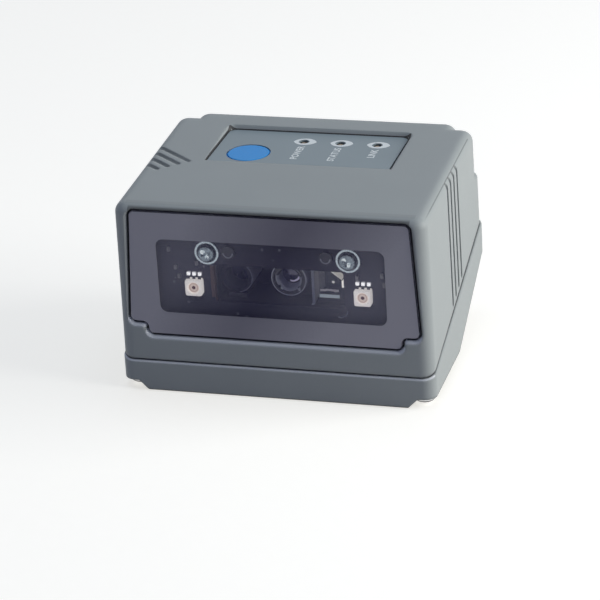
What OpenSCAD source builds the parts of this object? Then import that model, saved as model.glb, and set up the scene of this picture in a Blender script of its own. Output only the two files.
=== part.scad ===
// Fixed barcode reader: a wedge base, a drafted cover with a tinted window, and the imaging engine inside.
// Origin at the middle of the underside, +Z up, the window faces -Y.

/* [Housing] */
// Width of the base
base_w = 64; // [63:0.5:66]
// Depth of the base
base_d = 48.5; // [48:0.5:50]
// Height of the cover's top face at its rear
rear_h = 41.5; // [41:0.5:43]
// Fall of the top face from its rear to its front
top_fall = 1.8; // [1.5:0.1:2.1]
// Step from the base in to the cover's foot, at the sides
side_step = 0.2; // [0.1:0.05:0.4]
// Lean of the cover's sides, from their foot to their top
side_lean = 0.5; // [0.4:0.1:1]
// Step from the base in to the cover, front and rear
cover_step = 0.25; // [0.15:0.05:0.4]
// Radius of the upright corners
corner_r = 2.6; // [2.4:0.1:3]
// Radius of the cover's top edges
edge_r = 2.1; // [1.8:0.1:2.3]
// Height of the parting line at the front
part_front_z = 6.4; // [6:0.1:7]
// Height of the parting line at the rear
part_rear_z = 20.9; // [20:0.1:21.5]
// Width of the shadow groove along the parting line
part_groove = 0.35; // [0.2:0.05:0.5]
// Width of the notches in the cover's rear corners
notch_w = 3.9; // [3.5:0.1:4.5]
// Depth of those notches
notch_d = 2.65; // [2.5:0.05:2.8]
// Height of those notches
notch_h = 10.3; // [9.5:0.1:11]

/* [Underside] */
// Place from which the underside slants up to the rear
kink_y = -1; // [-2:0.5:-0.5]
// Rise of the slanted underside for each millimetre of depth
slant = 0.51; // [0.48:0.01:0.52]
// Height of the rebates along both sides
rebate_h = 2.1; // [1.8:0.1:2.3]
// Width of the rebates
rebate_w = 5.6; // [5:0.1:6]
// Spacing of the mounting inserts across the base
insert_dx = 36; // [34:1:38]
// Spacing of the mounting inserts along the base
insert_dy = 12; // [11:0.5:12.5]
// Radius of the mounting inserts' threaded bores
insert_bore_r = 1.25; // [1:0.05:1.5]
// Height of the cable gland's middle
gland_z = 17; // [16.9:0.05:17.1]
// Radius of the cable gland's bore
gland_bore_r = 1.9; // [1.5:0.1:2]

/* [Window] */
// Margin between the cover's side and the pane's top corner
pane_side = 3.2; // [3:0.05:3.5]
// Margin between the top face and the pane
pane_top = 1.15; // [1.1:0.05:1.5]
// Margin between the parting line and the pane
pane_low = 5.95; // [5.5:0.05:6.5]
// Growth of the pane's half width from its top to its shoulders
pane_flare = 1.4; // [1:0.1:1.5]
// Width of the steps in the pane's lower corners
pane_step_w = 3.65; // [3.3:0.05:4.5]
// Height of those steps
pane_step_h = 2.5; // [2.3:0.1:2.9]
// Thickness of the pane
pane_t = 1.4; // [1.2:0.1:1.6]
// Gap between the pane and its seat
pane_gap = 0.3; // [0.2:0.05:0.35]
// Width of the printed border at the sides
border_side = 5.1; // [5:0.05:6]
// Width of the printed border below the clear aperture
border_low = 4.85; // [4.6:0.05:5.2]
// Width of the printed border above the clear aperture
border_top = 5.7; // [5.4:0.1:6]

/* [Top panel] */
// Width of the status overlay
overlay_w = 37.6; // [37:0.1:39]
// Front edge of the status overlay
overlay_front_y = -0.9; // [-1.2:0.1:-0.8]
// Rear edge of the status overlay
overlay_rear_y = 16.4; // [16:0.1:17.5]
// Thickness of the status overlay
overlay_t = 0.3; // [0.2:0.05:0.3]
// Gap between the overlay and the walls of its recess
overlay_gap = 0.35; // [0.2:0.05:0.5]
// Middle of the trigger button, across
button_x = -11.6; // [-12:0.1:-11]
// Middle of the trigger button, along the depth
button_y = 4.3; // [4.3:0.1:5]
// Radius of the trigger button
button_r = 4.2; // [3.8:0.1:4.2]
// Travel of the trigger button
button_travel = 0.4; // [0.2:0.05:0.4]
// First indicator, across
indicator_x = -1.95; // [-2.2:0.05:-1]
// Row of indicators, along the depth
indicator_y = 11.6; // [10.5:0.1:12]
// Spacing of the indicators
indicator_dx = 7.65; // [7:0.05:7.8]
// Radius of the indicators' holes
indicator_r = 0.95; // [0.8:0.05:1]

/* [Grooves] */
// Side groove nearest the front
groove_y = -4.6; // [-6:0.1:-4]
// Spacing of the side grooves
groove_pitch = 2.8; // [2.4:0.1:3]
// Radius of the grooves
groove_r = 0.5; // [0.3:0.05:0.55]
// Depth of the grooves' middle line under the surface
groove_sink = 0.12; // [0.05:0.01:0.2]
// Length of the shortest groove on the top face
top_groove_run = 4.6; // [3.5:0.1:5]
// Growth in length from one top groove to the next
top_groove_step = 2.2; // [1.8:0.1:2.4]

/* [Optics] */
// Distance from the cover's inner front back to the illumination board
board_gap = 2.7; // [2.5:0.05:3]
// Drop from the aperture's upper edge to the opening for the optics
optics_drop = 7.25; // [7.1:0.05:7.4]
// Height of the opening for the optics
optics_h = 7.9; // [7.8:0.1:8.2]
// Middle of the LED on the right, across
led_x = 17.2; // [16.8:0.1:18]
// Height of the LEDs above the opening's lower edge
led_rise = 3.25; // [2.8:0.05:3.5]
// Side of a LED package
led_w = 3.9; // [3.5:0.1:4]
// Middle of the engine screw on the right, across
engine_screw_x = 14.35; // [14.2:0.05:14.6]
// Drop from the aperture's upper edge to the engine screws
engine_screw_drop = 4.65; // [4.5:0.05:4.7]
// Middle of the locating pin on the right, across
pin_x = 9.9; // [9.6:0.1:10]
// Drop from the aperture's upper edge to the locating pins
pin_drop = 4.35; // [4.2:0.05:4.6]
// Middle of the camera lens, across
lens_x = 1.5; // [1.2:0.1:1.5]
// Height of the camera lens above the opening's lower edge
lens_rise = 4.9; // [4.7:0.1:5]
// Middle of the aimer barrel, across
aimer_x = -9.5; // [-9.55:0.05:-9.3]
// Height of the aimer barrel above the opening's lower edge
aimer_rise = 4.2; // [4.2:0.1:4.5]

/* [Hidden] */
$fn = 48;
hull_fn = 32;
far = 120;

housing_grey = "#7d848a";
dark_board = "#2e2c38";
black_plastic = "#1d1c20";
white_plastic = "#cfc8bf";
bright_metal = "#c9ced6";

// Housing levels
front_h = rear_h - top_fall;
cover_foot_w = base_w - 2 * side_step;
cover_top_w = cover_foot_w - 2 * side_lean;
front_y = -base_d / 2;
rear_y = base_d / 2;
cover_front_y = front_y + cover_step;
cover_rear_y = rear_y - cover_step;
top_run = cover_rear_y - cover_front_y - 2 * corner_r;
top_angle = atan(top_fall / top_run);
part_angle = atan((part_rear_z - part_front_z) / base_d);
cover_draft = side_lean / (rear_h - part_front_z);
notch_y = cover_rear_y - notch_d;
notch_z = rear_h - notch_h;
ledge_edge_r = 0.8;
rebate_x = base_w / 2 - rebate_w;

// Outlines of the pane and of its clear aperture
pane_top_x = cover_top_w / 2 - pane_side;
pane_shoulder_x = pane_top_x + pane_flare;
pane_low_x = pane_shoulder_x - pane_step_w;
pane_top_z = front_h - pane_top;
pane_low_z = part_front_z + pane_low;
pane_shoulder_z = pane_low_z + pane_step_h;
ledge_fall = 0.06;
aperture_x = pane_top_x - border_side;
aperture_low_z = pane_low_z + border_low;
aperture_top_z = pane_top_z - border_top;

// Window stack, from the front back
mask_t = 0.1;
pane_front_y = cover_front_y + 0.5;
pane_back_y = pane_front_y + pane_t;
pane_chamfer = 0.15;
gasket_t = 0.5;
seat_y = pane_back_y + gasket_t;
seat_t = 0.7;
seat_bevel = 0.6;

// Inside of the housing
side_wall = 1.8;
rear_wall = 1.9;
top_wall = 2;
floor_t = 2.2;
cavity_x = cover_top_w / 2 - side_wall;
cavity_front_y = seat_y + seat_t;
cavity_rear_y = cover_rear_y - rear_wall;
cavity_upper_rear_y = notch_y - rear_wall;
tongue_gap = 0.2;
tongue_t = 1.2;
tongue_h = 1.5;
tray_x = cavity_x - tongue_gap - tongue_t;
tray_front_y = cavity_front_y + tongue_gap + tongue_t;
tray_rear_y = cavity_rear_y - tongue_gap - tongue_t;

// Case screws on the right side: front and rear
case_boss_r = 2.3;
case_shank_r = 1;
case_head_r = 2.2;
case_head_h = 1.5;
case_grip = 4.5;
case_front_at = [base_w / 2 - 2.8, front_y + 3.65];
case_rear_at = [base_w / 2 - 3.4, rear_y - 7.75];
case_rear_seat_z = under_z(case_rear_at.y) + rebate_h / cos(atan(slant)) + 1.75;
case_screw_list = [[case_front_at, rebate_h], [case_rear_at, case_rear_seat_z]];

// Top panel stack, from the overlay down
button_at = [button_x, button_y];
button_gap = 0.3;
button_flange_r = button_r + 0.6;
button_flange_t = 0.9;
overlay_floor_z = top_z(overlay_front_y) - overlay_t - 0.04;
overlay_top_z = overlay_floor_z + overlay_t;
recess_flare = 0.5;
button_flange_z = overlay_floor_z - 0.05;
button_low_z = button_flange_z - 4;
plunger_r = 1.7;
plunger_low_z = button_low_z - 2;
switch_top_z = button_low_z - 1.1;
indicator_board_z = switch_top_z - 3.6;
indicator_board_t = 1.2;
indicator_led_h = 0.8;
indicator_end_x = indicator_x + 2 * indicator_dx;
indicator_screw_y = overlay_front_y + 3.9;
indicator_screw_list = [[indicator_x + 2.5, indicator_screw_y], [indicator_end_x + 1.1, indicator_screw_y]];

// Self-tapping screws of the boards
tap_r = 0.9;
tap_hole_r = tap_r + 0.03;
tap_head_r = 1.8;
tap_head_h = 1.2;
tap_clear_r = tap_r + 0.2;

// Main board, short of the slanted floor at the rear
main_board_z = 8.4;
main_board_t = 1.6;
main_top_z = main_board_z + main_board_t;
main_x = rebate_x - floor_t - 0.4;
main_front_y = tray_front_y + 0.6;
main_rear_y = kink_y + (main_board_z - floor_t - 0.4) / slant;
main_post_list = [for (x = [-1, 1], y = [main_front_y + 3.9, main_rear_y - 4]) [x * (main_x - 2.8), y]];

// Illumination board and the opening for the optics
optics_x = 13.2;
optics_top_z = aperture_top_z - optics_drop;
optics_low_z = optics_top_z - optics_h;
led_z = optics_low_z + led_rise;
led_at = [led_x, led_z];
engine_screw_z = aperture_top_z - engine_screw_drop;
engine_screw_at = [engine_screw_x, engine_screw_z];
pin_at = [pin_x, aperture_top_z - pin_drop];
board_y = cavity_front_y + board_gap;
led_board_t = 1.2;
led_board_low = [3 - cavity_x, aperture_low_z - 5.5];
led_board_high = [cavity_x - 3, aperture_top_z - 1.7];
led_h = 1.6;
led_cup_r = 1.55;
led_cup_h = 0.7;
washer_t = 0.35;

// Engine chassis, counted back from the illumination board
lens_z = optics_low_z + lens_rise;
aimer_z = optics_low_z + aimer_rise;
lens_at = [lens_x, lens_z];
aimer_at = [aimer_x, aimer_z];
chassis_y = board_y + led_board_t;
chassis_back_y = board_y + 15.2;
plate_t = 1.8;
recess_x = optics_x - 0.3;
recess_low_z = optics_low_z - 0.1;
recess_top_z = optics_top_z + 0.1;
recess_back_y = board_y + 10.2;
tube_wall = 1;
pin_r = 1.35;
engine_shank_r = 1;
barrel_r = 3.6;
barrel_front_y = board_y + 2;
barrel_back_y = board_y + 12;
lens_seat_y = barrel_front_y + 3.5;
aimer_r = 3.3;
aimer_front_y = board_y + 2.7;
aimer_foot_h = aimer_z - aimer_r - recess_low_z;
prism_ledge_h = 1;
prism_x = recess_x - 5.6;
sensor_t = 1.1;
sensor_half = [4, 3.5];
sensor_board_t = 1.2;
flex_y = chassis_back_y + sensor_board_t;
flex_w = 10;
flex_t = 0.2;
flex_socket_w = 13;
flex_socket_h = 1.5;
flex_socket_front_y = flex_y - 1.6;
flex_socket_rear_y = flex_y + 2.2;

// Parts on the main board: a corner or middle and a size each
board_part_gap = 0.8;
beeper_r = 4.3;
beeper_h = 4;
beeper_at = [main_x - 10.8, main_rear_y - 6];
large_chip = [12, 9, 1.3];
middle_chip = [5.5, 6, 1.1];
side_chip = [5, 5, 1.1];
chip_list = [[[lens_x - 10, main_front_y + 3.9], large_chip],
    [[beeper_at.x - beeper_r - board_part_gap - middle_chip.x, flex_socket_rear_y + board_part_gap],
        middle_chip],
    [[main_x - side_chip.x - 1.8, main_front_y + 10.4], side_chip]];
header_at = [5 - main_x, main_rear_y - 6.5];
header_size = [14, 5, 5.5];
header_wall = 0.8;

// Cable gland in the rear wall
gland_r = 2.7;
gland_flange_r = 3.3;
gland_flange_t = 0.8;

insert_r = 2.2;
insert_l = 5;
insert_y = -11;

function top_z(y) = front_h + (y - cover_front_y - corner_r) * tan(top_angle);
function part_z(y) = part_front_z + (y - front_y) * tan(part_angle);
function cover_x(z) = cover_foot_w / 2 - (z - part_front_z) * cover_draft;
function under_z(y) = max(0, (y - kink_y) * slant);

// Outline of a polygon with rounded corners: each corner is [x, y, radius]
function unit(v) = v / norm(v);
function fillet(before, corner, after, steps = 8) =
    let (p = [corner.x, corner.y], u = unit([before.x, before.y] - p), v = unit([after.x, after.y] - p),
        half = acos(u * v) / 2, reach = corner.z / tan(half), middle = p + unit(u + v) * corner.z / sin(half),
        start = p + u * reach - middle, turn = sign(cross(u, v)) * (180 - 2 * half))
    [for (i = [0:steps]) let (a = -turn * i / steps)
        middle + [start.x * cos(a) - start.y * sin(a), start.x * sin(a) + start.y * cos(a)]];
function outline(corners) = let (n = len(corners))
    [for (i = [0:n - 1]) each fillet(corners[(i + n - 1) % n], corners[i], corners[(i + 1) % n])];

// The pane's stepped outline, grown by a margin, with the top edge's own rise
function pane_outline(grow = 0, rise = undef) =
    let (corner = (pane_shoulder_z - pane_low_z) * 0.46, r = corner + grow, inner = corner - grow)
    outline([for (side = [1, -1]) each let (corners = [
        [pane_top_x + grow, pane_top_z + (is_undef(rise) ? grow : rise), r],
        [pane_shoulder_x + grow, pane_shoulder_z - grow, r],
        [pane_low_x + grow, pane_shoulder_z - grow - ledge_fall, inner],
        [pane_low_x + grow, pane_low_z - grow, r]])
        [for (i = [0:3]) let (c = corners[side > 0 ? i : 3 - i]) [side * c.x, c.y, c.z]]]);

module mirrored() {
    children();
    mirror([1, 0, 0]) children();
}
module rounded_rect(low, high, r) {
    size = high - low;
    translate(low + [r, 0]) square([size.x - 2 * r, size.y]);
    translate(low + [0, r]) square([size.x, size.y - 2 * r]);
    for (x = [low.x + r, high.x - r], y = [low.y + r, high.y - r]) translate([x, y]) circle(r);
}
module box(low, high) {
    translate(low) cube(high - low);
}
// A flat shape drawn in X and Z that reaches from y_front back to y_back
module to_rear(y_front, y_back) {
    translate([0, y_back, 0]) rotate([90, 0, 0]) linear_extrude(y_back - y_front) children();
}
// A flat shape drawn in Y and Z, extruded evenly to both sides
module across(width) {
    rotate([90, 0, 90]) linear_extrude(width, center = true) children();
}
module rod_y(at, r, y_front, y_back) {
    translate([at.x, y_back, at.y]) rotate([90, 0, 0]) cylinder(r = r, h = y_back - y_front);
}
module rod_z(at, r, low, high) {
    translate([at.x, at.y, low]) cylinder(r = r, h = high - low);
}
// A turned part: radius and depth points, the depth counted from the front to the rear
module turned_y(at, points) {
    translate([at.x, 0, at.y]) rotate([-90, 0, 0]) rotate_extrude() polygon(points);
}
// A solid through outlines drawn in X and Z, each with its place in Y: all are symmetric, run down the right
// side and up the left, and have the same number of points, so that each end closes with level strips
module loft_y(sections) {
    n = len(sections[0][0]);
    last = len(sections) - 1;
    points = [for (s = sections, p = s[0]) [p.x, s[1], p.y]];
    sides = [for (k = [0:last - 1], i = [0:n - 1])
        let (a = k * n + i, b = k * n + (i + 1) % n) [a, a + n, b + n, b]];
    strips = [for (i = [0:n / 2 - 2]) [i, i + 1, n - 2 - i, n - 1 - i]];
    back_strips = [for (s = strips) [for (i = [3:-1:0]) last * n + s[i]]];
    polyhedron(points, concat(strips, sides, back_strips));
}
module above_parting(lift = 0, height = far) {
    translate([0, front_y, part_front_z + lift]) rotate([part_angle, 0, 0])
        translate([-far / 2, -far / 4, 0]) cube([far, far, height]);
}
module below_top(drop) {
    translate([0, 0, top_z(0) - drop]) rotate([top_angle, 0, 0])
        translate([-far / 2, -far / 2, -far]) cube([far, far, far]);
}
// A ring that rounds an upright corner of radius r and its edge of radius edge
module corner_ring(at, r, edge, tilt = 0) {
    translate(at) rotate([tilt, 0, 0])
        rotate_extrude($fn = hull_fn) intersection() {
            translate([r - edge, 0]) circle(edge, $fn = hull_fn);
            translate([0, -edge]) square([r, 2 * edge]);
        }
}
module pan_head_screw(head_r, head_h, shank_r, shank_l) {
    difference() {
        union() {
            rotate_extrude() polygon(outline([[0, 0, 0.01], [head_r, 0, 0.05],
                [head_r, -head_h, head_h * 0.6], [0, -head_h, 0.01]]));
            cylinder(r = shank_r, h = shank_l);
        }
        for (turn = [0, 90]) rotate(turn)
            translate([0, 0, -head_h]) cube([head_r * 1.1, head_r * 0.25, head_h], center = true);
    }
}

// A drafted, rounded block of the cover, its sides set in from the cover's sides
module cover_block(inset, y_front, y_rear, top_front, top_rear, edge = edge_r) {
    foot_h = 1;
    hull() for (side = [-1, 1], end = [[y_front + corner_r, top_front], [y_rear - corner_r, top_rear]]) {
        ring_z = end[1] - edge;
        corner_ring([side * (cover_x(ring_z) - inset - corner_r), end[0], ring_z], corner_r, edge);
        translate([side * (cover_x(foot_h) - inset - corner_r), end[0], 0])
            cylinder(r = corner_r, h = foot_h, $fn = hull_fn);
    }
}
// The full-width block, then, from behind the grooves, the block between the notches and the foot under them
module cover_form() {
    inner_y = groove_y + 4 * groove_pitch;
    cover_block(0, cover_front_y, notch_y, front_h, top_z(notch_y - corner_r));
    cover_block(notch_w, inner_y, cover_rear_y, top_z(inner_y + corner_r), rear_h);
    cover_block(0, inner_y, cover_rear_y, notch_z, notch_z, ledge_edge_r);
}
module cover_cavity() {
    linear_extrude(notch_z - top_wall)
        rounded_rect([-cavity_x, cavity_front_y], [cavity_x, cavity_rear_y], 1);
    intersection() {
        linear_extrude(far) rounded_rect([-cavity_x, cavity_front_y], [cavity_x, cavity_upper_rear_y], 1);
        below_top(top_wall);
    }
}
// Everything outside the cover's foot, for the shadow groove along the parting line
module parting_groove() {
    inset = part_groove + 0.2;
    difference() {
        above_parting(-1, 1 + part_groove);
        linear_extrude(far) rounded_rect([inset - cover_foot_w / 2, cover_front_y + inset],
            [cover_foot_w / 2 - inset, cover_rear_y - inset], corner_r);
    }
}
module side_grooves() {
    lean = atan(cover_draft);
    foot_gap = 1.7;
    mirrored() for (i = [0:3]) {
        y = groove_y + i * groove_pitch;
        z = part_z(y) + foot_gap;
        translate([cover_x(z) - groove_sink, y, z]) rotate([0, -lean, 0]) {
            cylinder(r = groove_r, h = far);
            sphere(groove_r);
        }
    }
}
// The left grooves run on over the top face, each shorter toward the front
module top_grooves() {
    turn = 37.5;
    shift = 1.3;
    before = 2;
    for (i = [0:3]) {
        y = groove_y + shift + i * groove_pitch;
        run = top_groove_run + i * top_groove_step;
        translate([-cover_top_w / 2, y, top_z(y) - groove_sink]) rotate([0, 90, -turn]) {
            translate([0, 0, -before]) cylinder(r = groove_r, h = run + before);
            translate([0, 0, run]) sphere(groove_r);
        }
    }
}
// Opening in the cover's front wall, behind the pane's clear aperture
module light_opening() {
    grow = [1.2, 1.5];
    rounded_rect([-aperture_x, aperture_low_z] - grow, [aperture_x, aperture_top_z] + grow, 2);
}
module window_seat() {
    loft_y([[pane_outline(pane_gap + seat_bevel, pane_gap + 0.2), cover_front_y - 0.1],
        [pane_outline(pane_gap), pane_front_y + 0.25], [pane_outline(pane_gap), seat_y]]);
    to_rear(pane_front_y, cavity_front_y + 1) light_opening();
}
// The overlay's outline, grown to the sides and the rear only
module overlay_outline(grow = 0) {
    x = overlay_w / 2 + grow;
    front = overlay_front_y;
    rear = overlay_rear_y + grow;
    polygon(outline([[-x, front, 0.4], [x, front, 0.4], [x, rear, 1.6], [-x, rear, 1.6]]));
}
// Recess for the overlay, its walls flared above the film
module overlay_recess() {
    slice = 0.01;
    translate([0, 0, overlay_floor_z]) linear_extrude(overlay_t + 0.1) overlay_outline(overlay_gap);
    hull() {
        translate([0, 0, overlay_top_z]) linear_extrude(slice) overlay_outline(overlay_gap);
        translate([0, 0, rear_h]) linear_extrude(slice) overlay_outline(overlay_gap + recess_flare);
    }
}
module at_indicators() {
    for (i = [0:2]) translate([indicator_x + i * indicator_dx, indicator_y, 0]) children();
}
// End of a case screw's shank in its boss
function case_tip_z(at) = part_z(at.y) + case_grip;
module case_bosses() {
    mirrored() for (s = case_screw_list)
        rod_z(s[0], case_boss_r, part_z(s[0].y) - case_boss_r, case_tip_z(s[0]) + 1.5);
}
module indicator_bosses() {
    for (at = indicator_screw_list) rod_z(at, 2.2, indicator_board_z, far);
}

module top_cover() {
    color(housing_grey) difference() {
        intersection() {
            cover_form();
            above_parting();
        }
        difference() {
            cover_cavity();
            case_bosses();
            indicator_bosses();
        }
        parting_groove();
        side_grooves();
        top_grooves();
        window_seat();
        overlay_recess();
        rod_z(button_at, button_flange_r + button_gap, button_low_z, overlay_top_z);
        at_indicators() cylinder(r = indicator_r, h = rear_h);
        mirrored() for (s = case_screw_list) rod_z(s[0], case_shank_r + 0.03, 0, case_tip_z(s[0]) + 0.3);
        for (at = indicator_screw_list) rod_z(at, tap_hole_r, indicator_board_z - 1, indicator_board_z + 4.7);
    }
}

module base_form() {
    lift = 0.35;
    low_r = 0.6;
    x = base_w / 2 - corner_r;
    hull() for (side = [-1, 1]) {
        for (end = [front_y + corner_r, rear_y - corner_r]) {
            y = end - lift * sin(part_angle);
            translate([side * x, y, part_z(y)]) rotate([part_angle, 0, 0])
                corner_ring([0, 0, -lift], corner_r, lift);
        }
        for (y = [front_y + corner_r, kink_y - corner_r, rear_y - corner_r])
            corner_ring([side * x, y, under_z(y + corner_r * 0.7) + low_r], corner_r, low_r);
    }
}
// Section of a side rebate, drawn in X and Z
module rebate_section() {
    polygon([[rebate_x, -1], [rebate_x, 0], [rebate_x + rebate_h, rebate_h], [base_w, rebate_h],
        [base_w, -1]]);
}
module side_rebates() {
    mirrored() {
        to_rear(front_y - 1, kink_y + 0.6) rebate_section();
        translate([0, kink_y, 0]) rotate([atan(slant), 0, 0]) to_rear(-0.2, far) rebate_section();
    }
}
module tray_profile(lift) {
    polygon([[tray_front_y, lift], [kink_y, lift], [tray_rear_y, lift + under_z(tray_rear_y)],
        [tray_rear_y, far], [tray_front_y, far]]);
}
module base_posts() {
    intersection() {
        union() {
            for (at = main_post_list) rod_z(at, 2.4, 0, main_board_z);
            at_inserts() cylinder(r = insert_r + 1.2, h = insert_l + 1.3);
        }
        across(base_w) tray_profile(floor_t / 2);
    }
}
module at_inserts() {
    for (x = [-1, 1], y = [-1, 1])
        translate([x * insert_dx / 2, insert_y + y * insert_dy / 2, 0]) children();
}
module tongue() {
    intersection() {
        above_parting(-1, tongue_h + 1);
        linear_extrude(far) difference() {
            rounded_rect([tongue_gap - cavity_x, cavity_front_y + tongue_gap],
                [cavity_x - tongue_gap, cavity_rear_y - tongue_gap], 1);
            rounded_rect([-tray_x, tray_front_y], [tray_x, tray_rear_y], 0.8);
        }
    }
}

module base() {
    boss_hole_r = case_boss_r + 0.3;
    color(housing_grey) difference() {
        union() {
            difference() {
                union() {
                    base_form();
                    tongue();
                }
                across(2 * (rebate_x - floor_t)) tray_profile(floor_t);
                across(2 * tray_x) tray_profile(rebate_h + floor_t);
                mirrored() for (s = case_screw_list)
                    rod_z(s[0], boss_hole_r, part_z(s[0].y + boss_hole_r), far);
            }
            base_posts();
        }
        side_rebates();
        mirrored() for (s = case_screw_list) {
            rod_z(s[0], case_shank_r + 0.2, -1, far);
            rod_z(s[0], case_head_r + 0.3, -1, s[1]);
        }
        at_inserts() translate([0, 0, -1]) cylinder(r = insert_r, h = insert_l + 1);
        for (at = main_post_list) rod_z(at, tap_hole_r, main_board_z - 3.5, main_board_z + 1);
        rod_y([0, gland_z], gland_r, 0, rear_y + 1);
        rod_y([0, gland_z], gland_flange_r, rear_y - gland_flange_t, rear_y + 1);
    }
}

module window_pane() {
    color("#4a4654", 0.5) loft_y([[pane_outline(-pane_chamfer), pane_front_y],
        [pane_outline(), pane_front_y + pane_chamfer], [pane_outline(), pane_back_y]]);
}
module window_mask() {
    color("#6a6872") to_rear(pane_front_y - mask_t, pane_front_y) difference() {
        polygon(pane_outline(-0.2));
        rounded_rect([-aperture_x, aperture_low_z], [aperture_x, aperture_top_z], 1.6);
    }
}
module window_gasket() {
    color(black_plastic) to_rear(pane_back_y, seat_y) difference() {
        polygon(pane_outline(-0.4));
        light_opening();
    }
}

module status_overlay() {
    color("#6f7880") translate([0, 0, overlay_floor_z]) linear_extrude(overlay_t) difference() {
        overlay_outline();
        translate(button_at) circle(button_r + button_gap);
        at_indicators() circle(indicator_r);
    }
}
module trigger_button() {
    crown = 0.15;
    flange_low_z = button_flange_z - button_flange_t;
    color("#3f8fd6") translate([button_at.x, button_at.y, 0]) rotate_extrude() polygon(outline([
        [0, button_low_z, 0.01], [plunger_r - 0.1, button_low_z, 0.1], [plunger_r - 0.1, flange_low_z, 0.05],
        [button_flange_r, flange_low_z, 0.1], [button_flange_r, button_flange_z, 0.1],
        [button_r, button_flange_z, 0.05], [button_r, overlay_top_z, crown], [0, overlay_top_z, 0.01]]));
}
module switch_plunger() {
    color(black_plastic) rod_z(button_at, plunger_r, plunger_low_z, button_low_z);
}
module tact_switch() {
    half = [3, 3];
    color("#3a3a3e") difference() {
        box([button_x - half.x, button_y - half.y, indicator_board_z],
            [button_x + half.x, button_y + half.y, switch_top_z]);
        rod_z(button_at, plunger_r + 0.1, plunger_low_z - button_travel - 0.3, rear_h);
    }
}
module indicator_light_pipes() {
    color("#e6ddc8", 0.6) at_indicators() {
        low = indicator_board_z + indicator_led_h;
        rod_z([0, 0], indicator_r - 0.05, low, overlay_floor_z - 0.05);
        rod_z([0, 0], indicator_r + 0.5, low + 4, low + 4.6);
    }
}
module indicator_leds() {
    color(white_plastic) at_indicators()
        box([-0.8, -0.8, indicator_board_z], [0.8, 0.8, indicator_board_z + indicator_led_h]);
}
module indicator_board() {
    color("#2f5d43") difference() {
        box([button_x - 5.5, overlay_front_y, indicator_board_z - indicator_board_t],
            [indicator_end_x + 4.6, indicator_y + 4.7, indicator_board_z]);
        for (at = indicator_screw_list) rod_z(at, tap_clear_r, 0, rear_h);
    }
}
module indicator_board_screws() {
    color(bright_metal) for (at = indicator_screw_list)
        translate([at.x, at.y, indicator_board_z - indicator_board_t])
            pan_head_screw(tap_head_r, tap_head_h, tap_r, 5.5);
}

module illumination_board() {
    color(dark_board) difference() {
        to_rear(board_y, chassis_y) difference() {
            rounded_rect(led_board_low, led_board_high, 1);
            rounded_rect([-optics_x, optics_low_z], [optics_x, optics_top_z], 0.6);
        }
        mirrored() {
            rod_y(engine_screw_at, engine_shank_r + 0.15, board_y - 1, chassis_y + 1);
            rod_y(pin_at, pin_r + 0.1, board_y - 1, chassis_y + 1);
        }
    }
}
// A square package with a round cavity and one clipped corner
module led_package() {
    half = led_w / 2;
    clip = 0.7;
    color(white_plastic) difference() {
        to_rear(board_y - led_h, board_y) translate(led_at) polygon([[-half, -half], [half - clip, -half],
            [half, clip - half], [half, half], [-half, half]]);
        rod_y(led_at, led_cup_r, board_y - led_h - 1, board_y - led_h + led_cup_h);
    }
}
module illumination_led_right() {
    led_package();
}
module illumination_led_left() {
    mirror([1, 0, 0]) led_package();
}
module led_phosphors() {
    color("#b58a63") mirrored()
        rod_y(led_at, led_cup_r - 0.05, board_y - led_h + led_cup_h / 2, board_y - led_h + led_cup_h);
}
module led_solder_joints() {
    color(bright_metal) mirrored() for (i = [-1:1], side = [-1, 1])
        translate([led_x + i * 1.15, board_y - 0.25, led_z + side * (led_w / 2 + 0.55)])
            cube([0.7, 0.5, 0.9], center = true);
}
// Chips round the LEDs: offset from the middle of the LED and its side
module board_resistors() {
    chips = [[-1, 3.8, 3.8], [-1, 3.2, 1.9], [-1, 5, 7.5], [-1, -0.6, 4.9], [1, 3.8, 4.5], [1, 4.2, 2.5],
        [1, -1.2, 3.7]];
    color("#8d8478") for (chip = chips)
        translate([chip[0] * (led_x + chip[1]), board_y - 0.2, led_z + chip[2]])
            cube([0.6, 0.4, 1], center = true);
}
module engine_washers() {
    color(bright_metal) mirrored() difference() {
        rod_y(engine_screw_at, 2.45, board_y - washer_t, board_y);
        rod_y(engine_screw_at, engine_shank_r + 0.15, board_y - 1, board_y + 1);
    }
}
module engine_screws() {
    color(bright_metal) mirrored() translate([engine_screw_x, board_y - washer_t, engine_screw_z])
        rotate([-90, 0, 0]) rotate(20) pan_head_screw(1.75, 0.9, engine_shank_r, 4.6);
}

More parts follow.
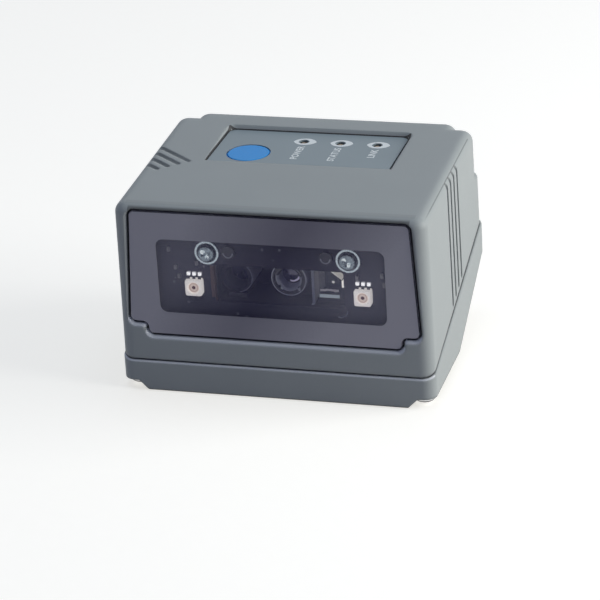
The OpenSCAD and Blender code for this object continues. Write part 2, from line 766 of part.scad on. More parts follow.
// What stands in the chassis' recess: prism ledge, divider, lens block and aimer foot
module recess_fill() {
    low = recess_low_z - 1;
    high = recess_top_z + 1;
    lens_half = barrel_r + 0.6;
    aimer_half = 1.9;
    box([prism_x - 0.3, board_y + 2.6, low], [recess_x + 1, recess_back_y, recess_low_z + prism_ledge_h]);
    box([prism_x - 1.3, board_y + 2.4, low], [prism_x - 0.8, recess_back_y, high]);
    box([lens_x - lens_half, board_y + 6.2, low], [lens_x + lens_half, recess_back_y, high]);
    box([aimer_x - aimer_half, board_y + 2.8, low],
        [aimer_x + aimer_half, recess_back_y, recess_low_z + aimer_foot_h]);
}
module engine_chassis() {
    tube_x = recess_x + tube_wall;
    plate_x = engine_screw_x + 3.15;
    window = sensor_half + [1, 1];
    color(black_plastic) difference() {
        union() {
            box([-plate_x, chassis_y, led_board_low.y + 0.2],
                [plate_x, chassis_y + plate_t, led_board_high.y - 0.6]);
            box([-tube_x, chassis_y, recess_low_z - 2], [tube_x, chassis_back_y, recess_top_z + 2]);
            mirrored() {
                box([tube_x - 4, board_y + 5.2, main_top_z], [tube_x, board_y + 13.2, recess_low_z - 1.6]);
                rod_y(engine_screw_at, 2.2, chassis_y, chassis_y + 5);
                rod_y(pin_at, pin_r, board_y - 0.6, chassis_y + 1);
            }
        }
        difference() {
            to_rear(chassis_y - 1, recess_back_y)
                rounded_rect([-recess_x, recess_low_z], [recess_x, recess_top_z], 0.5);
            recess_fill();
        }
        rod_y(lens_at, barrel_r + 0.05, chassis_y - 1, barrel_back_y);
        rod_y(lens_at, barrel_r - 0.6, barrel_back_y - 1, chassis_back_y + 1);
        translate([lens_x, 0, lens_z]) box([-window.x, chassis_back_y - sensor_t - 0.3, -window.y],
            [window.x, chassis_back_y + 1, window.y]);
        mirrored() rod_y(engine_screw_at, engine_shank_r + 0.03, chassis_y - 1, chassis_y + 4.4);
    }
}
module lens_barrel() {
    lip = 0.35;
    ring = [2.45, 2.75, 3.05];
    bore = 2.1;
    stop = 1.7;
    dot_r = 2.6;
    lip_y = barrel_front_y + lip;
    color(black_plastic) difference() {
        turned_y(lens_at, [[bore, lip_y], [ring[0], barrel_front_y], [ring[1], barrel_front_y],
            [ring[1], lip_y], [ring[2], lip_y], [ring[2], barrel_front_y], [barrel_r, barrel_front_y],
            [barrel_r, barrel_back_y], [stop, barrel_back_y], [stop, lens_seat_y], [bore, lens_seat_y]]);
        for (a = [-40, 220])
            rod_y(lens_at + dot_r * [cos(a), sin(a)], 0.3, barrel_front_y - 0.8, barrel_front_y + 0.8);
    }
}
module front_lens() {
    dome_r = 4.3;
    edge_t = 0.6;
    r = 2.05;
    color("#6f7fa8", 0.6) turned_y(lens_at, concat([for (i = [0:6]) let (a = asin(r / dome_r) * i / 6)
        [dome_r * sin(a), lens_seat_y - 2 * edge_t + dome_r * (1 - cos(a))]],
        [[r, lens_seat_y], [0, lens_seat_y]]));
}
module aimer_barrel() {
    bore = 2.2;
    stop = 1.2;
    seat_y = aimer_front_y + 5;
    color(black_plastic) turned_y(aimer_at, [[2.6, aimer_front_y], [aimer_r, aimer_front_y + 0.3],
        [aimer_r, recess_back_y], [stop, recess_back_y], [stop, seat_y], [bore, seat_y],
        [bore, aimer_front_y + 0.8]]);
}
module aimer_lens() {
    color("#5a5a72", 0.6) rod_y(aimer_at, 2.15, aimer_front_y + 4, aimer_front_y + 5);
}
module aiming_prism() {
    low = recess_low_z + prism_ledge_h;
    w = 5;
    h = 5.6;
    facet = 1.95;
    color("#dfe6ee", 0.5) to_rear(board_y + 3, board_y + 9.2) translate([prism_x, low])
        polygon([[0, 0], [w, 0], [w, h - facet], [w - facet, h], [0, h]]);
}

module sensor_board() {
    half_w = 10.5;
    color("#2f5d43") box([lens_x - half_w, chassis_back_y, recess_low_z - 1.8],
        [lens_x + half_w, chassis_back_y + sensor_board_t, recess_top_z + 1.8]);
}
module image_sensor() {
    color("#26262c") translate([lens_x, chassis_back_y, lens_z])
        box([-sensor_half.x, -sensor_t, -sensor_half.y], [sensor_half.x, 0, sensor_half.y]);
}
module flex_socket() {
    color("#d8d2c2") box([-flex_socket_w / 2, flex_socket_front_y, main_top_z],
        [flex_socket_w / 2, flex_socket_rear_y, main_top_z + flex_socket_h]);
}
module sensor_flex() {
    color("#b9783a") box([-flex_w / 2, flex_y, main_top_z + flex_socket_h],
        [flex_w / 2, flex_y + flex_t, recess_low_z + 2.4]);
}
module main_board() {
    color("#2f5d43") difference() {
        box([-main_x, main_front_y, main_board_z], [main_x, main_rear_y, main_top_z]);
        for (at = main_post_list) rod_z(at, tap_clear_r, 0, rear_h);
    }
}
module main_board_screws() {
    color(bright_metal) for (at = main_post_list) translate([at.x, at.y, main_top_z])
        mirror([0, 0, 1]) pan_head_screw(tap_head_r, tap_head_h, tap_r, 4.6);
}
module board_chips() {
    color("#26262c") for (chip = chip_list) translate([chip[0].x, chip[0].y, main_top_z]) cube(chip[1]);
}
module beeper() {
    hole_r = 0.7;
    hole_h = 1.5;
    top = main_top_z + beeper_h;
    color(black_plastic) difference() {
        rod_z(beeper_at, beeper_r, main_top_z, top);
        rod_z(beeper_at, hole_r, top - hole_h, top + 1);
    }
}
module cable_header() {
    floor_h = 1.5;
    color("#d8d2c2") translate([header_at.x, header_at.y, main_top_z]) difference() {
        cube(header_size);
        box([header_wall, header_wall, floor_h], header_size + [-header_wall, -header_wall, 1]);
    }
}
module cable_gland() {
    inner = tray_rear_y - 0.8;
    color("#232326") turned_y([0, gland_z], [[gland_bore_r, inner], [gland_r - 0.05, inner],
        [gland_r - 0.05, rear_y - gland_flange_t], [gland_flange_r - 0.05, rear_y - gland_flange_t],
        [gland_flange_r - 0.05, rear_y], [gland_bore_r, rear_y]]);
}
module case_screws() {
    color(bright_metal) mirrored() for (s = case_screw_list) translate([s[0].x, s[0].y, s[1]])
        pan_head_screw(case_head_r, case_head_h, case_shank_r, case_tip_z(s[0]) - s[1]);
}
module mounting_inserts() {
    color("#b8974a") at_inserts() difference() {
        cylinder(r = insert_r - 0.05, h = insert_l);
        translate([0, 0, -1]) cylinder(r = insert_bore_r, h = insert_l);
    }
}

top_cover();
base();
window_pane();
window_mask();
window_gasket();
status_overlay();
trigger_button();
switch_plunger();
tact_switch();
indicator_light_pipes();
indicator_leds();
indicator_board();
indicator_board_screws();
illumination_board();
illumination_led_left();
illumination_led_right();
led_phosphors();
led_solder_joints();
board_resistors();
engine_screws();
engine_washers();
engine_chassis();
lens_barrel();
front_lens();
aimer_barrel();
aimer_lens();
aiming_prism();
sensor_board();
image_sensor();
sensor_flex();
flex_socket();
main_board();
main_board_screws();
board_chips();
beeper();
cable_header();
cable_gland();
case_screws();
mounting_inserts();
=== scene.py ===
# %% [markdown]
# # A fixed barcode reader, dressed in Blender
# The object is a small box that watches a conveyor: a grey moulded housing, a smoked window with a camera
# behind it, and a status panel with three indicators and one blue button on top.
# Its solids were drawn in CAD, in one frame with the origin under its middle, and are loaded here as they are.
# This lesson gives every solid a finish and adds the prints and fine parts that CAD left out.

# %% Load the solids
import math

import bmesh
import bpy
from mathutils import Matrix, Vector


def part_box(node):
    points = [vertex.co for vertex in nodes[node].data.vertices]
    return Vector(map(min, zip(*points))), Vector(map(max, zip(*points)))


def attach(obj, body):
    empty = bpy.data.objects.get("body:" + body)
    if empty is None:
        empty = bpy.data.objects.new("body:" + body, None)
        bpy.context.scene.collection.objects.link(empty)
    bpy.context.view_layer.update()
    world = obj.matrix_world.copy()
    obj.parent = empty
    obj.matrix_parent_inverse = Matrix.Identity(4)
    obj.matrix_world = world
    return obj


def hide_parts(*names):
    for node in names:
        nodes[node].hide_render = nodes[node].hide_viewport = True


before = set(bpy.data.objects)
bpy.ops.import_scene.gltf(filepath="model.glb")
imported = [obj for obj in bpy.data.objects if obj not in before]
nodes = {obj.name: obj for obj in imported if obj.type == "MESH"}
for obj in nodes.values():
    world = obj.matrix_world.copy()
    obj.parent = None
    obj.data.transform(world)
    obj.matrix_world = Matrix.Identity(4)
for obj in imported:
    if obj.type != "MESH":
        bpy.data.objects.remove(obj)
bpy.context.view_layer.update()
MM = 0.001

# %% [markdown]
# ## Camera
# A product picture is taken from far away with a long lens, so that upright edges stay nearly parallel.
# The place of this camera was found by fitting the corners of the box to the picture. It is kept as an azimuth,
# an elevation and a small roll about a target, because those are easier to read than a matrix.

# %% Camera
scene = bpy.context.scene
scene.view_settings.view_transform = "Standard"

azimuth, elevation, roll = (math.radians(a) for a in (16.743, 24.321, -3.441))
target = Vector((-1.342, 0, 10.538)) * MM
distance = 575.332 * MM
back = Vector((math.sin(azimuth) * math.cos(elevation), -math.cos(azimuth) * math.cos(elevation),
               math.sin(elevation)))
right = Vector((math.cos(azimuth), math.sin(azimuth), 0))
up = back.cross(right)
camera_x = right * math.cos(roll) + up * math.sin(roll)
camera_y = up * math.cos(roll) - right * math.sin(roll)

camera = bpy.data.objects.new("camera", bpy.data.cameras.new("camera"))
scene.collection.objects.link(camera)
camera.data.sensor_width = 36
camera.data.lens = 169.703
camera.data.clip_start = 0.02
camera.matrix_world = Matrix.Translation(target + back * distance) @ Matrix(
    (camera_x, camera_y, back)).transposed().to_4x4()
scene.camera = camera
print("camera at", [round(v, 4) for v in camera.matrix_world.translation])

# %% [markdown]
# ## Shader sums in Python
# A finish is a small sum: so much base tone, so much grain, a little less gloss where the grain is high.
# Wiring Math nodes by hand hides that sum, so one class wraps a socket and turns `1 - grain * 0.2` into nodes.
# Every other node comes from its `node` method: the type, the settings, then what goes into the sockets.

# %% A socket that can be added and multiplied
class Signal:
    """A shader value: sums of signals and numbers become Math nodes."""

    def __init__(self, tree, socket=None):
        self.tree, self.socket = tree, socket

    def node(self, kind, settings, inputs, output=0):
        made = self.tree.nodes.new(kind)
        for key, value in settings.items():
            setattr(made, key, value)
        for key, value in inputs.items():
            if isinstance(value, Signal):
                self.tree.links.new(value.socket, made.inputs[key])
            else:
                made.inputs[key].default_value = value
        return Signal(self.tree, made.outputs[output])

    def output(self, name):
        """Another output of the node that this signal comes from."""
        return Signal(self.tree, self.socket.node.outputs[name])

    def maths(self, operation, *values):
        return self.node("ShaderNodeMath", {"operation": operation}, dict(enumerate(values)))

    def __add__(self, other):
        return self.maths("ADD", self, other)

    def __sub__(self, other):
        return self.maths("SUBTRACT", self, other)

    def __rsub__(self, other):
        return self.maths("SUBTRACT", other, self)

    def __mul__(self, other):
        return self.maths("MULTIPLY", self, other)

    def __truediv__(self, other):
        return self.maths("DIVIDE", self, other)

    def __pow__(self, other):
        return self.maths("POWER", self, other)

    def __abs__(self):
        return self.maths("ABSOLUTE", self)

    def __lt__(self, other):
        return self.maths("LESS_THAN", self, other)

    def __gt__(self, other):
        return self.maths("GREATER_THAN", self, other)

    __radd__, __rmul__ = __add__, __mul__


# %% [markdown]
# ## Helpers that every finish needs
# Each solid keeps its place in its mesh, so Blender's object coordinates are the CAD frame. Scaled to
# millimetres they let a finish say "grain 0.3 mm wide" or "a ring round the screw" in real sizes.
# A material that is the same all over in some respect has that number set straight on the shader's socket.
# Lines, rings and spots are masks, 1 inside and 0 outside, made from the distance to a line or a point.

# %% Finishes, places and grain
def finish(name, fixed):
    """A new material: its constants on the shader, its shader, and a signal to build on."""
    material = bpy.data.materials.new(name)
    material.use_nodes = True
    shader = material.node_tree.nodes["Principled BSDF"]
    for socket, value in fixed.items():
        shader.inputs[socket].default_value = value
    return material, shader, millimetres(Signal(material.node_tree))


def millimetres(signal):
    place = signal.node("ShaderNodeTexCoord", {}, {}, "Object")
    return place.node("ShaderNodeVectorMath", {"operation": "SCALE"}, {0: place, "Scale": 1 / MM})


def feed(shader, **signals):
    """Links signals to the shader's sockets: Base_Color=..., Roughness=..., Normal=..."""
    for socket, signal in signals.items():
        signal.tree.links.new(signal.socket, shader.inputs[socket.replace("_", " ")])


def noise(place, per_mm, detail=2):
    return place.node("ShaderNodeTexNoise", {}, {"Vector": place, "Scale": per_mm, "Detail": detail})


def blend(factor, first, second):
    """A colour between two others."""
    first, second = ((*c, 1) if isinstance(c, tuple) else c for c in (first, second))
    return factor.node("ShaderNodeMix", {"data_type": "RGBA"}, {0: factor, 6: first, 7: second}, 2)


def relief(height, depth_mm, strength=1.0, **normal):
    return height.node("ShaderNodeBump", {}, {
        "Strength": strength, "Distance": depth_mm * MM, "Height": height, **normal})


def axes(place):
    x = place.node("ShaderNodeSeparateXYZ", {}, {0: place}, "X")
    return x, x.output("Y"), x.output("Z")


def facing(place):
    """The way a face looks, as three signals."""
    return axes(place.node("ShaderNodeNewGeometry", {}, {}, "Normal"))


def wave(phase):
    return phase.maths("SINE", phase) * 0.5 + 0.5


def either(first, *others):
    """The highest of several signals. For masks: 1 where any of them is."""
    for other in others:
        first = first.maths("MAXIMUM", first, other)
    return first


def at_most(signal, limit=1.0):
    return signal.maths("MINIMUM", signal, limit)


def near(value, middle, reach):
    """A mask: 1 where a value is within reach of a middle."""
    return abs(value - middle) < reach


def between(value, low, high):
    return (value > low) * (value < high)


def away(across, along, middle):
    """Distance from a point of a plane."""
    return ((across - middle[0]) ** 2 + (along - middle[1]) ** 2) ** 0.5


def dress(material, *names):
    for name in names:
        for slot in nodes[name].material_slots:
            slot.material = material
    print(material.name, "on", ", ".join(names))


# %% [markdown]
# ## Moulded housing
# Cover and base are grey ABS from a spark-eroded mould: a very fine, even grain that scatters the light, no
# gloss, and a faint cloudiness where the melt flowed. One material serves both, since they are moulded alike.
# The grain is a noise a third of a millimetre wide that feeds bump, roughness and a little of the tone.
# Grooves and joints are painted darker than the faces, as painted shade. An Ambient Occlusion node with a reach
# of half a millimetre finds just those narrow places, wherever the shape puts them, and the grooves get it deeper.
# More lines of painted shade come from the place alone: in the gap round the status panel, along the upper side
# edges where the side meets the rounded top edge, at the soft crease where the top bends down to the front, and on
# the brow above the window. No moulded edge is knife sharp: a Bevel node turns the normals near each edge, so that it
# catches the light as a rounded one does, while the solid stays as it is. Edges on the front that look up, under the
# window and under the parting line, get a painted highlight: they are painted pale and kept free of the painted
# shade.

# %% Grey ABS: grain, painted seam shade and soft edges
SEAM_REACH, EDGE_ROUND = 0.5, 0.7
moulded_grey, shader, place = finish("moulded_grey", {"IOR": 1.5, "Specular IOR Level": 0.4})
grain = noise(place, 3.1, 3)
flow = noise(place, 0.07, 3)
tone = grain * 0.45 + flow * 0.55
# The occlusion below darkens narrow places: painted shade in seams and grooves.
open_air = place.node("ShaderNodeAmbientOcclusion", {"samples": 8}, {"Distance": SEAM_REACH * MM}, "AO")
soft_edge = place.node("ShaderNodeBevel", {"samples": 6}, {"Radius": EDGE_ROUND * MM})
x, y, z = axes(place)
print("dust within", SEAM_REACH, "mm, edges rounded by", EDGE_ROUND, "mm")

# %% Grey ABS: painted shade in the gap round the panel
GAP_BESIDE, GAP_BEHIND, OVERLAP, RECESS_DEEP = 0.44, 0.4, 0.02, 1.2
film_low, film_high = (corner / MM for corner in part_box("status_overlay"))
# Painted shade in the gap beside and behind the film.
gap_shade_beside = near(abs(x), film_high.x + GAP_BESIDE / 2, GAP_BESIDE / 2 + OVERLAP) * between(
    y, film_low.y, film_high.y + GAP_BEHIND)
gap_shade_behind = near(y, film_high.y + GAP_BEHIND / 2, GAP_BEHIND / 2 + OVERLAP) * (abs(x) < film_high.x + GAP_BESIDE)
gap_shade = either(gap_shade_beside, gap_shade_behind) * (z > film_low.z - RECESS_DEEP)
print("shadow gap beside and behind a film", round(film_high.x - film_low.x, 1), "mm wide")

# %% Grey ABS: painted shade lines and painted highlight on the lips
FRONT_Y, LIPS_BELOW = -22.4, 30
SIDE_EDGE_X, SIDE_EDGE_Z, TOP_SLOPE = 30.75, 39.3, 0.042
SIDE_SHADE_FRONT, SIDE_SHADE_REAR, FADE = -22, 17, 5
CREASE_Y, CREASE_ABOVE, CREASE_SIDE = -21.7, 39, 29
BROW_LOW, BROW_TOP, BROW_SIDE = 38.6, 39.5, 28.2
fade_in = at_most((y - SIDE_SHADE_FRONT) / FADE) * between(y, SIDE_SHADE_FRONT, SIDE_SHADE_REAR)
# Painted shade: a thin dark line along the upper side edges.
side_crease_shade = near(abs(x), SIDE_EDGE_X, 0.09) * (z > SIDE_EDGE_Z + y * TOP_SLOPE) * fade_in
# Painted shade where the top bends down to the front.
front_crease_shade = near(y, CREASE_Y, 0.7) * (z > CREASE_ABOVE) * (abs(x) < CREASE_SIDE)
# Painted shade on the brow above the window, which faces down.
brow_shade = at_most((BROW_TOP - z) / 0.3) * between(z, BROW_LOW, BROW_TOP) * (y < FRONT_Y) * (abs(x) < BROW_SIDE)
# Painted highlight: edges on the front that look up, under the window and the parting line, are painted pale.
front_lip_highlight = between(axes(soft_edge)[2], 0.25, 0.9) * (y < FRONT_Y) * (z < LIPS_BELOW)
print("witness lines, crease, brow and wiped lips")

# %% Grey ABS: all together
SHADE_TONE, LIP_HIGHLIGHT_TONE = (0.032, 0.033, 0.038), (0.66, 0.68, 0.72)
SEAM_SHADE_POWER, GROOVE_SHADE_POWER = 2.4, 2.6
GROOVES_Y, GROOVES_X = 9, 19.5
# Painted shade: occlusion darkens the seams, more round the grooves, and the line masks darken more.
by_grooves = (abs(y) < GROOVES_Y) * (abs(x) > GROOVES_X)
seam_shading = open_air ** (SEAM_SHADE_POWER + by_grooves * GROOVE_SHADE_POWER)
painted_shading = seam_shading * (1 - side_crease_shade * 0.45) * (1 - front_crease_shade * 0.14) * (1 - brow_shade * 0.6)
unshaded = either(painted_shading, front_lip_highlight) * (1 - gap_shade)
# Painted highlight: the pale lip tone on front edges that look up.
face_tone = blend(front_lip_highlight, blend(tone, (0.286, 0.309, 0.316), (0.346, 0.369, 0.376)), LIP_HIGHLIGHT_TONE)
feed(shader,
     Base_Color=blend(unshaded, SHADE_TONE, face_tone),
     Roughness=0.42 + grain * 0.22,
     Normal=relief(grain, 0.018, 0.35, Normal=soft_edge))
dress(moulded_grey, "top_cover", "base")

# %% [markdown]
# ## Smoked window
# The pane is a tinted acrylic sheet. Real tinted sheet absorbs light on its way in and out, and its face mirrors
# a little of the room. Refraction in so thin a sheet hardly shows, so the pane lets the picture behind it through
# by Alpha, which keeps the optics lit and clean, and mirrors with its own gloss. Its cut edges are grey and opaque.
# The border round the clear part is a grey satin print on the front, and the foam gasket behind closes the gap.
# The pane and the border get paler toward their ends and toward the bottom, away from a slanted middle band: a
# painted reflection of the room.

# %% Pane, border and gasket
BAND_X, BAND_Z, BAND_LEAN, BAND_REACH = -7, 15, 0.6, 23
PANE_TOP = 38


def painted_reflection(place):
    """Painted reflection: 0 along a slanted band across the window's middle, rising to 1 at its ends and a little
    toward the bottom.
    """
    x, _, z = axes(place)
    from_band = abs(x - BAND_X - (z - BAND_Z) * BAND_LEAN)
    return at_most(from_band / BAND_REACH) ** 1.25 + (PANE_TOP - z) * 0.011


smoked_pane, shader, place = finish("smoked_pane", {"IOR": 1.49, "Specular IOR Level": 0.22})
reflection_veil = painted_reflection(place)
smear = noise(place, 0.12, 3)
cut_edge = abs(facing(place)[1]) < 0.5
# Painted reflection: the pane's tone rises with the veil.
feed(shader,
     Base_Color=blend(cut_edge, blend(reflection_veil * (0.7 + smear * 0.6), (0.1, 0.09, 0.26), (0.86, 0.83, 1.0)),
                      (0.3, 0.29, 0.34)),
     Alpha=0.13 + cut_edge * 0.87,
     Roughness=0.05 + smear * 0.08)
dress(smoked_pane, "window_pane")

satin_border, shader, place = finish("satin_border", {"IOR": 1.49, "Specular IOR Level": 0.25})
weave = noise(place, 2.2, 2)
reflection_veil = painted_reflection(place)
# Painted reflection on the border, as on the pane.
feed(shader,
     Base_Color=blend(reflection_veil * (0.85 + weave * 0.3), (0.165, 0.155, 0.2), (0.4, 0.385, 0.43)),
     Roughness=0.42 + weave * 0.12,
     Normal=relief(weave, 0.006, 0.25))
dress(satin_border, "window_mask")

black_foam, shader, place = finish("black_foam", {"Specular IOR Level": 0.2})
cells = noise(place, 4.0, 2)
feed(shader,
     Base_Color=blend(cells, (0.03, 0.03, 0.034), (0.06, 0.06, 0.066)),
     Roughness=0.8 + cells * 0.15,
     Normal=relief(cells, 0.05, 0.5))
dress(black_foam, "window_gasket")

# %% [markdown]
# ## Status panel
# The panel is a thin printed film in a recess of the cover. It is a little bluer and darker than the cover and
# its surface is an even satin. The button is blue moulded plastic with a soft gloss, and each indicator is the end
# of a clear pipe that brings light up from a small LED, with a warm amber cast while it is off. Round its amber
# middle the pipe end is painted dark, as painted shade in its hole.

# %% Film, button and light pipes
panel_film, shader, place = finish("panel_film", {"IOR": 1.5})
satin = noise(place, 5.0, 2)
drift = noise(place, 0.09, 2)
feed(shader,
     Base_Color=blend(satin * 0.4 + drift * 0.6, (0.185, 0.232, 0.262), (0.235, 0.288, 0.322)),
     Roughness=0.4 + satin * 0.15,
     Normal=relief(satin, 0.006, 0.3))
dress(panel_film, "status_overlay")

blue_key, shader, place = finish("blue_key", {"IOR": 1.5, "Specular IOR Level": 0.2})
skin = noise(place, 3.0, 2)
feed(shader,
     Base_Color=blend(skin, (0.018, 0.27, 0.7), (0.028, 0.33, 0.8)),
     Roughness=0.36 + skin * 0.12,
     Normal=relief(skin, 0.01, 0.25))
dress(blue_key, "trigger_button")

PITCH = 7.65
INDICATORS = [(-1.95 + PITCH * i, 11.6) for i in range(3)]
amber_pipe, shader, place = finish("amber_pipe", {"IOR": 1.49})
swirl = noise(place, 0.9, 2)
x, y, _ = axes(place)
from_first = x - INDICATORS[0][0] + PITCH / 2
along_row = from_first.maths("WRAP", from_first, PITCH, 0.0) - PITCH / 2
# Painted shade: outside its core each pipe end is dark.
core = away(along_row, y, (0, INDICATORS[0][1])) < 0.5
feed(shader,
     Base_Color=blend(core, (0.03, 0.022, 0.016), blend(swirl, (0.5, 0.36, 0.24), (0.78, 0.62, 0.48))),
     Roughness=0.12 + swirl * 0.1)
dress(amber_pipe, "indicator_light_pipes")

# %% [markdown]
# ## Illumination board
# Behind the window stands a dark circuit board. Under its solder mask run copper tracks, here and there a via shows
# as a tiny tinned ring, and the cut edge of the board is bare brown laminate.
# All of it is drawn from the place on the board: tracks as thin mortar lines of a brick pattern, vias as rings round
# the points of a Voronoi pattern, and the laminate wherever the face looks sideways or is milled free beside the
# opening for the optics. A bright crescent under the prism is a painted highlight.

# %% Dark board
def copper_lines(place, offset, line, run, row):
    """Thin lines as tracks of copper make them: the mortar of a brick pattern, in millimetres."""
    return place.node("ShaderNodeTexBrick", {"offset": offset}, {
        "Vector": place, "Scale": 1.0, "Mortar Size": line, "Mortar Smooth": 0.3, "Brick Width": run,
        "Row Height": row}, "Fac")


SLOT, CRESCENT_MIDDLE, CRESCENT_RADIUS = (-13.5, 22.0), (12.2, 17.4), 1.5
dark_mask, shader, place = finish("dark_mask", {"IOR": 1.5, "Specular IOR Level": 0.2})
x, _, z = axes(place)
flat = place.node("ShaderNodeCombineXYZ", {}, {"X": x, "Y": z, "Z": 0.0})
tracks = copper_lines(flat, 0.37, 0.07, 3.4, 0.62)
spot = flat.node("ShaderNodeTexVoronoi", {"feature": "F1"}, {"Vector": flat, "Scale": 0.5, "Randomness": 0.8})
via = between(spot, 0.06, 0.13)
sideways = abs(facing(place)[0]) > 0.5
milled = near(x, SLOT[0], 0.45) * near(z, SLOT[1], 3.4)
laminate = either(sideways, milled)
# Painted highlight: a bright crescent on the board under the prism.
crescent_highlight = near(away(x, z, CRESCENT_MIDDLE), CRESCENT_RADIUS, 0.11) * (z < CRESCENT_MIDDLE[1] - 0.1) * (x > CRESCENT_MIDDLE[0] - 0.4)
mask_tone = blend(tracks, (0.018, 0.015, 0.03), (0.042, 0.036, 0.06))
board_tone = blend(crescent_highlight, blend(via, mask_tone, (0.22, 0.22, 0.23)), (0.8, 0.8, 0.84))
speckle = noise(place, 2.6, 3)
feed(shader,
     Base_Color=blend(laminate, board_tone, blend(speckle, (0.11, 0.06, 0.045), (0.2, 0.12, 0.09))),
     Roughness=0.3 + speckle * 0.15,
     Normal=relief(tracks, 0.03, 0.4))
dress(dark_mask, "illumination_board")

# %% [markdown]
# ## LEDs, joints and chips
# Two white packages light the code. Each has a round cup filled with tan silicone over the die. Their legs end in
# tinned joints, and small ceramic chips sit round them.
# White plastic is never pure white: a slow noise warms it, and the silicone darkens toward its middle. The joints
# above each package are bright tin; the lower parts of the legs and the joints below are painted dark, as painted
# shade.
# The packages, the silicone and the bright tin glow faintly, though no current runs: painted light.

# %% White packages, silicone, tin and ceramic
# Painted light: the packages glow faintly.
white_package, shader, place = finish("white_package", {
    "IOR": 1.52, "Emission Color": (1.0, 0.94, 0.89, 1), "Emission Strength": 0.5})
fleck = noise(place, 1.6, 2)
feed(shader,
     Base_Color=blend(fleck, (0.72, 0.67, 0.61), (0.86, 0.82, 0.77)),
     Roughness=0.34 + fleck * 0.14,
     Normal=relief(fleck, 0.01, 0.2))
dress(white_package, "illumination_led_left", "illumination_led_right", "indicator_leds")

LED_X, LED_Z = 17.2, 20.95
DIE_RADIUS, LINE_RADIUS = 0.36, 0.85
# Painted light: the silicone glows faintly in its own colour.
tan_silicone, shader, place = finish("tan_silicone", {"IOR": 1.41, "Emission Strength": 0.5})
x, _, z = axes(place)
from_die = away(abs(x), z, (LED_X, LED_Z))
die = from_die < DIE_RADIUS
ring_line = near(from_die, LINE_RADIUS, 0.13)
silicone = blend(ring_line, blend(from_die, (0.6, 0.42, 0.34), (0.84, 0.74, 0.66)), (0.56, 0.4, 0.33))
feed(shader,
     Base_Color=blend(die, silicone, (0.1, 0.018, 0.018)),
     Emission_Color=blend(die, silicone, (0.03, 0.0, 0.0)),
     Roughness=0.2 + from_die * 0.1)
dress(tan_silicone, "led_phosphors")

JOINT_TOP, JOINT_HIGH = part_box("led_solder_joints")[1].z / MM, 0.62
# Painted light: the bright tin glows faintly.
tinned, shader, place = finish("tinned", {"Emission Strength": 0.4})
lump = noise(place, 2.4, 2)
# Painted shade: the tin below this height is dark.
bright_tin = axes(place)[2] > JOINT_TOP - JOINT_HIGH
feed(shader,
     Base_Color=blend(bright_tin, (0.02, 0.018, 0.028), blend(lump, (0.74, 0.74, 0.75), (0.92, 0.92, 0.93))),
     Emission_Color=blend(bright_tin, (0.0, 0.0, 0.0), (0.95, 0.93, 0.96)),
     Metallic=bright_tin,
     Roughness=0.16 + lump * 0.14,
     Normal=relief(lump, 0.05, 0.4))
dress(tinned, "led_solder_joints")

ceramic, shader, place = finish("ceramic", {"IOR": 1.6})
speck = noise(place, 5.0, 2)
feed(shader,
     Base_Color=blend(speck, (0.16, 0.15, 0.155), (0.36, 0.33, 0.31)),
     Roughness=0.35 + speck * 0.2)
dress(ceramic, "board_resistors")

# %% [markdown]
# ## Shape of a LED package
# The solids give the packages as plain blocks. A real one is cast round a lead frame: a square with soft corners, a
# bright cone in its face down to the silicone, and three flat legs bent out of its upper side onto their joints.
# Such shapes are stacks of closed outlines, so one loft builds the package from squares that turn into circles, and
# each leg from its bent profile.

# %% Loft between outlines
def new_piece(name, mesh, material, body):
    piece = bpy.data.objects.new(name, mesh)
    scene.collection.objects.link(piece)
    mesh.materials.append(material)
    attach(piece, body)
    return piece


def loft(name, stacks, caps=()):
    """A mesh of one or more stacks of closed outlines in millimetres, joined by quads; caps closes these levels."""
    shape = bmesh.new()
    for stack in stacks:
        loops = [[shape.verts.new(Vector(point) * MM) for point in outline] for outline in stack]
        for low, high in zip(loops, loops[1:]):
            for i in range(len(low)):
                j = (i + 1) % len(low)
                shape.faces.new((low[i], low[j], high[j], high[i]))
        for level in caps:
            shape.faces.new(loops[level])
    bmesh.ops.recalc_face_normals(shape, faces=shape.faces)
    mesh = bpy.data.meshes.new(name)
    shape.to_mesh(mesh)
    shape.free()
    return mesh


# %% LED packages and legs
LED_FACE_Y, BOARD_Y = (corner.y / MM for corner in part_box("illumination_led_left"))
SILICONE_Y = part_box("led_phosphors")[0].y / MM
PACKAGE_HALF, CUP_RADIUS, CUP_FLOOR_RADIUS, LEG_PITCH = 1.7, 1.3, 1.12, 1.15
TURNS = [math.tau * i / 48 for i in range(48)]


def soft_square(middle, half, y, power=9):
    """An outline between a square and a circle: the higher the power, the sharper its corners."""
    def reach(v):
        return half * math.copysign(abs(v) ** (2 / power), v)
    return [(middle[0] + reach(math.cos(a)), y, middle[1] + reach(math.sin(a))) for a in TURNS]


def cup_circle(middle, radius, y):
    return soft_square(middle, radius, y, 2)


def leg(x, foot_z, half_width=0.3):
    """A strip that leaves the package's side, bends down to the board and ends in its joint."""
    bend = [(LED_FACE_Y + 0.75, foot_z - 1.0), (LED_FACE_Y + 0.75, foot_z - 0.4), (BOARD_Y - 0.62, foot_z - 0.05),
            (BOARD_Y - 0.62, foot_z + 0.5), (BOARD_Y - 0.45, foot_z + 0.5), (BOARD_Y - 0.45, foot_z - 0.12),
            (LED_FACE_Y + 0.95, foot_z - 0.5), (LED_FACE_Y + 0.95, foot_z - 1.0)]
    return [[(x + side * half_width, y, z) for y, z in bend] for side in (-1, 1)]


